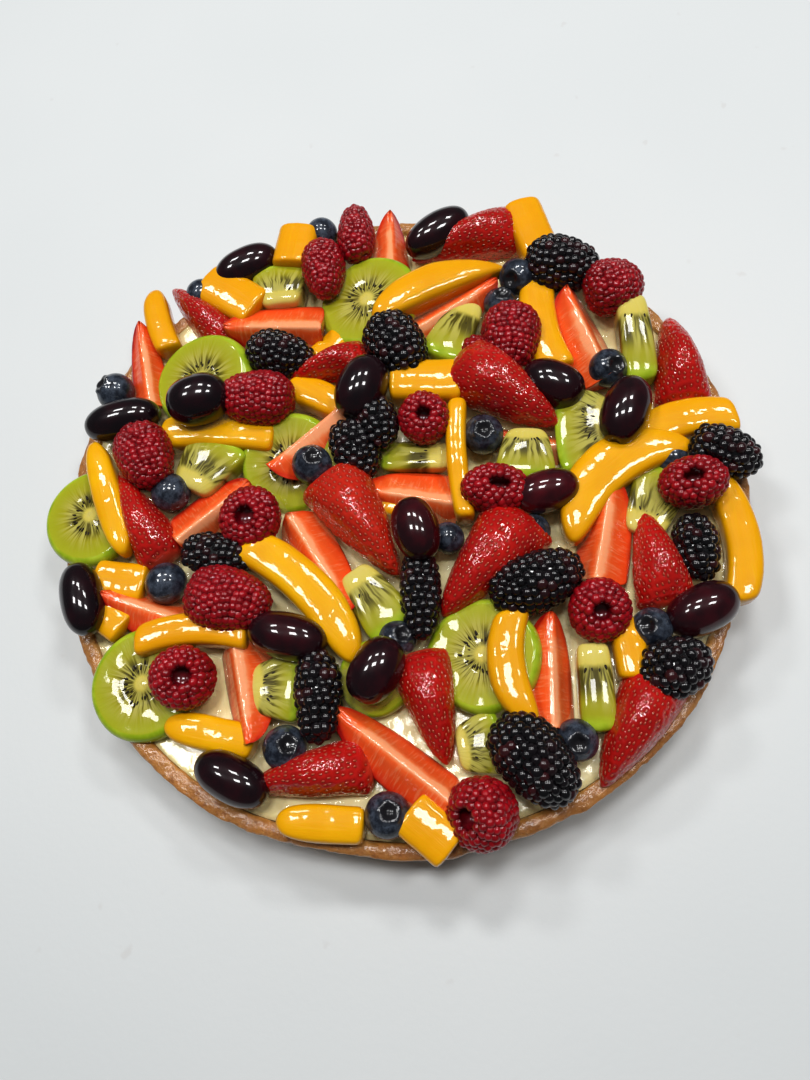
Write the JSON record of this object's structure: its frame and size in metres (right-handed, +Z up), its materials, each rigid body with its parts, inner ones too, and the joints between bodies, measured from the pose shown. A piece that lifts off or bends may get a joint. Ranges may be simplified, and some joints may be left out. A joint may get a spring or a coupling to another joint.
{
  "type": "fruit tart",
  "caption": "Round pastry tart filled with pastry cream and packed with glazed mixed fruit and berries.",
  "frame": {"origin": "centre of the shell's flat underside", "axes": "+Z up along the tart's axis, +Y away from the viewer of the picture, +X to the right"},
  "size_m": [0.2911, 0.2828, 0.0527],
  "materials": {
    "baked_crust": "golden brown shortcrust with a thin glaze",
    "cream": "pale yellow pastry cream under clear glaze, with yellow, red, blue and green fruit fused on",
    "grape_skin": "near black purple, glossy",
    "bramble_skin": "black, glossy, many small round beads",
    "raspberry_skin": "deep red, glossy, many small round beads",
    "strawberry_skin": "bright red, glossy, seeded",
    "kiwi_flesh": "green with a pale core and black seeds, wet"
  },
  "bodies": {
    "root": {"crust": "baked_crust", "cream_with_fruit": "cream", "bramble_01": "bramble_skin", "bramble_02": "bramble_skin", "bramble_03": "bramble_skin", "bramble_04": "bramble_skin", "bramble_05": "bramble_skin", "bramble_06": "bramble_skin", "bramble_07": "bramble_skin", "bramble_08": "bramble_skin", "bramble_09": "bramble_skin", "bramble_10": "bramble_skin", "bramble_11": "bramble_skin", "bramble_12": "bramble_skin", "bramble_13": "bramble_skin", "grape_01": "grape_skin", "grape_02": "grape_skin", "grape_03": "grape_skin", "grape_04": "grape_skin", "grape_05": "grape_skin", "grape_06": "grape_skin", "grape_07": "grape_skin", "grape_08": "grape_skin", "grape_09": "grape_skin", "grape_10": "grape_skin", "grape_11": "grape_skin", "grape_12": "grape_skin", "grape_13": "grape_skin", "grape_14": "grape_skin", "kiwi_slice_01": "kiwi_flesh", "kiwi_slice_02": "kiwi_flesh", "kiwi_slice_03": "kiwi_flesh", "kiwi_slice_04": "kiwi_flesh", "kiwi_slice_05": "kiwi_flesh", "raspberry_01": "raspberry_skin", "raspberry_02": "raspberry_skin", "raspberry_03": "raspberry_skin", "raspberry_04": "raspberry_skin", "raspberry_05": "raspberry_skin", "raspberry_06": "raspberry_skin", "raspberry_07": "raspberry_skin", "raspberry_08": "raspberry_skin", "raspberry_09": "raspberry_skin", "raspberry_10": "raspberry_skin", "raspberry_11": "raspberry_skin", "raspberry_12": "raspberry_skin", "raspberry_13": "raspberry_skin", "raspberry_14": "raspberry_skin", "strawberry_01": "strawberry_skin", "strawberry_02": "strawberry_skin", "strawberry_03": "strawberry_skin", "strawberry_04": "strawberry_skin", "strawberry_05": "strawberry_skin", "strawberry_06": "strawberry_skin", "strawberry_07": "strawberry_skin", "strawberry_08": "strawberry_skin", "strawberry_09": "strawberry_skin", "strawberry_10": "strawberry_skin", "strawberry_11": "strawberry_skin", "strawberry_12": "strawberry_skin"}
  },
  "joints": []
}
